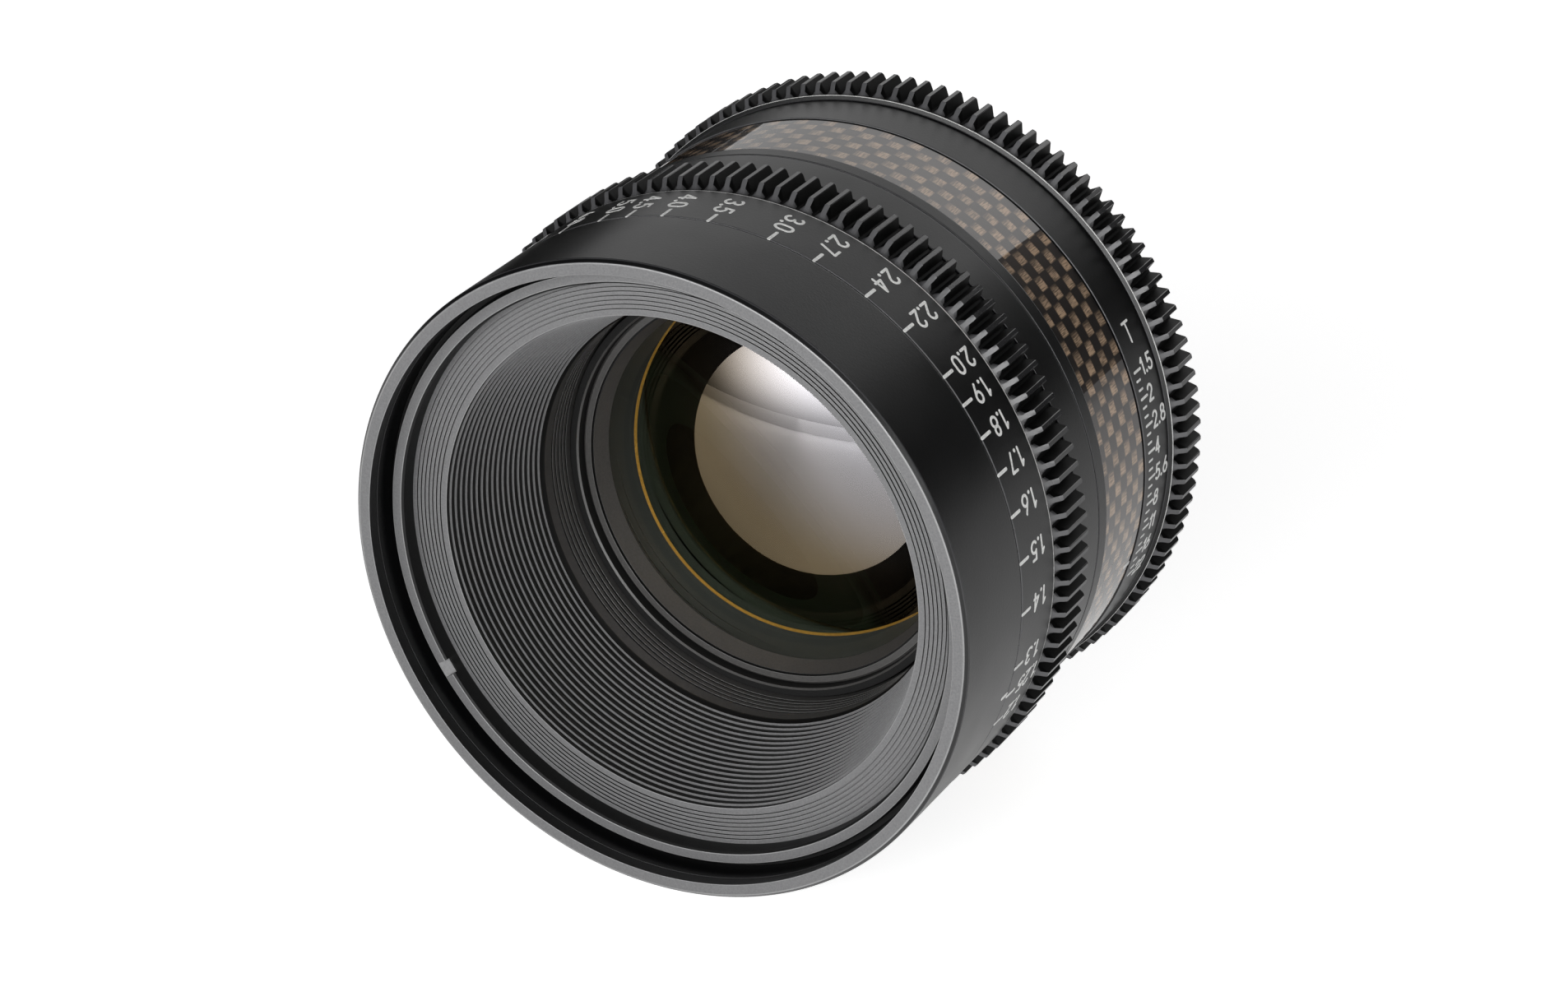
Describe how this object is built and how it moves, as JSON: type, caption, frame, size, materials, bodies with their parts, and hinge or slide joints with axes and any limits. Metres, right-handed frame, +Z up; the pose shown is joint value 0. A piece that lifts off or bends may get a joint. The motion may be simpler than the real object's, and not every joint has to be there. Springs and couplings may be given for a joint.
{
  "type": "cinema prime lens",
  "caption": "Cinema prime lens with a geared focus ring that moves the optics, a geared iris ring that closes a bladed iris, a carbon band and a bayonet mount.",
  "frame": {"origin": "centre of the flange seat, where the lens rests on the camera, on the optical axis", "axes": "-Y along the optical axis towards the subject, +Z up"},
  "size_m": [0.0976, 0.102, 0.0976],
  "materials": {
    "black_anodised": "satin black anodised",
    "grey_anodised": "matt dark grey anodised",
    "baffle_black": "ridged, matt black",
    "machined_aluminium": "fine turned",
    "carbon": "woven carbon under clear lacquer",
    "glass": "coated optical glass",
    "mount_steel": "fine ground stainless steel",
    "brass": "machined brass",
    "blade_steel": "blackened spring steel"
  },
  "bodies": {
    "barrel": {"front_barrel": "black_anodised", "filter_ring": "grey_anodised", "front_baffle": "baffle_black", "guide_tube": "machined_aluminium", "main_barrel": "black_anodised", "mid_ring": "black_anodised", "carbon_band": "carbon", "rear_barrel": "black_anodised", "rear_screws": "mount_steel", "mount_shim": "mount_steel", "mount_flange": "mount_steel", "mount_screws": "mount_steel"},
    "focus": {"focus_ring": "black_anodised", "cam_sleeve": "machined_aluminium", "focus_screws": "mount_steel"},
    "optics": {"focus_carriage": "machined_aluminium", "cam_followers": "brass", "front_cell": "grey_anodised", "front_retainer": "grey_anodised", "front_element": "glass", "second_retainer": "baffle_black", "second_element": "glass", "doublet_retainer": "baffle_black", "front_crown": "glass", "front_flint": "glass", "iris_base": "machined_aluminium", "rear_cell": "grey_anodised", "rear_flint": "glass", "rear_crown": "glass", "rear_spacer": "baffle_black", "rear_positive": "glass", "thin_spacer": "baffle_black", "rear_element": "glass", "rear_retainer": "grey_anodised"},
    "iris": {"iris_ring": "black_anodised", "iris_key": "brass"},
    "actuator": {"iris_actuator": "machined_aluminium"},
    "blade_1": {"iris_blade_1": "blade_steel"},
    "blade_2": {"iris_blade_2": "blade_steel"},
    "blade_3": {"iris_blade_3": "blade_steel"},
    "blade_4": {"iris_blade_4": "blade_steel"},
    "blade_5": {"iris_blade_5": "blade_steel"},
    "blade_6": {"iris_blade_6": "blade_steel"},
    "blade_7": {"iris_blade_7": "blade_steel"},
    "blade_8": {"iris_blade_8": "blade_steel"},
    "blade_9": {"iris_blade_9": "blade_steel"},
    "blade_10": {"iris_blade_10": "blade_steel"},
    "blade_11": {"iris_blade_11": "blade_steel"}
  },
  "joints": [
    {"name": "focus_turn", "type": "hinge", "parent": "barrel", "child": "focus", "pos_m": [0, 0, 0], "axis": [0, -1, 0], "range_deg": [-179.7, 17.5]},
    {"name": "optics_slide", "type": "slide", "parent": "barrel", "child": "optics", "axis": [0, -1, 0], "range_m": [-0.0073, 0.00072]},
    {"name": "iris_turn", "type": "hinge", "parent": "barrel", "child": "iris", "pos_m": [0, 0, 0], "axis": [0, -1, 0], "range_deg": [-36.2, 3.8]},
    {"name": "actuator_turn", "type": "hinge", "parent": "optics", "child": "actuator", "pos_m": [0, 0, 0], "axis": [0, -1, 0], "range_deg": [-36.22, 3.82]},
    {"name": "blade_1_swing", "type": "hinge", "parent": "optics", "child": "blade_1", "pos_m": [0.0256, -0.02765, 0], "axis": [0, -1, 0], "range_deg": [-31.7, 3.35]},
    {"name": "blade_2_swing", "type": "hinge", "parent": "optics", "child": "blade_2", "pos_m": [0.02154, -0.02765, 0.01384], "axis": [0, -1, 0], "range_deg": [-31.7, 3.35]},
    {"name": "blade_3_swing", "type": "hinge", "parent": "optics", "child": "blade_3", "pos_m": [0.01063, -0.02765, 0.02329], "axis": [0, -1, 0], "range_deg": [-31.7, 3.35]},
    {"name": "blade_4_swing", "type": "hinge", "parent": "optics", "child": "blade_4", "pos_m": [-0.00364, -0.02765, 0.02534], "axis": [0, -1, 0], "range_deg": [-31.7, 3.35]},
    {"name": "blade_5_swing", "type": "hinge", "parent": "optics", "child": "blade_5", "pos_m": [-0.01676, -0.02765, 0.01935], "axis": [0, -1, 0], "range_deg": [-31.7, 3.35]},
    {"name": "blade_6_swing", "type": "hinge", "parent": "optics", "child": "blade_6", "pos_m": [-0.02456, -0.02765, 0.00721], "axis": [0, -1, 0], "range_deg": [-31.7, 3.35]},
    {"name": "blade_7_swing", "type": "hinge", "parent": "optics", "child": "blade_7", "pos_m": [-0.02456, -0.02765, -0.00721], "axis": [0, -1, 0], "range_deg": [-31.7, 3.35]},
    {"name": "blade_8_swing", "type": "hinge", "parent": "optics", "child": "blade_8", "pos_m": [-0.01676, -0.02765, -0.01935], "axis": [0, -1, 0], "range_deg": [-31.7, 3.35]},
    {"name": "blade_9_swing", "type": "hinge", "parent": "optics", "child": "blade_9", "pos_m": [-0.00364, -0.02765, -0.02534], "axis": [0, -1, 0], "range_deg": [-31.7, 3.35]},
    {"name": "blade_10_swing", "type": "hinge", "parent": "optics", "child": "blade_10", "pos_m": [0.01063, -0.02765, -0.02329], "axis": [0, -1, 0], "range_deg": [-31.7, 3.35]},
    {"name": "blade_11_swing", "type": "hinge", "parent": "optics", "child": "blade_11", "pos_m": [0.02154, -0.02765, -0.01384], "axis": [0, -1, 0], "range_deg": [-31.7, 3.35]}
  ],
  "couplings": [
    {"joint": "optics_slide", "follows": "focus_turn", "m_per_rad": 0.0023244},
    {"joint": "actuator_turn", "follows": "iris_turn", "ratio": 1},
    {"joint": "blade_1_swing", "follows": "iris_turn", "ratio": 0.87523},
    {"joint": "blade_2_swing", "follows": "iris_turn", "ratio": 0.87523},
    {"joint": "blade_3_swing", "follows": "iris_turn", "ratio": 0.87523},
    {"joint": "blade_4_swing", "follows": "iris_turn", "ratio": 0.87523},
    {"joint": "blade_5_swing", "follows": "iris_turn", "ratio": 0.87523},
    {"joint": "blade_6_swing", "follows": "iris_turn", "ratio": 0.87523},
    {"joint": "blade_7_swing", "follows": "iris_turn", "ratio": 0.87523},
    {"joint": "blade_8_swing", "follows": "iris_turn", "ratio": 0.87523},
    {"joint": "blade_9_swing", "follows": "iris_turn", "ratio": 0.87523},
    {"joint": "blade_10_swing", "follows": "iris_turn", "ratio": 0.87523},
    {"joint": "blade_11_swing", "follows": "iris_turn", "ratio": 0.87523}
  ]
}
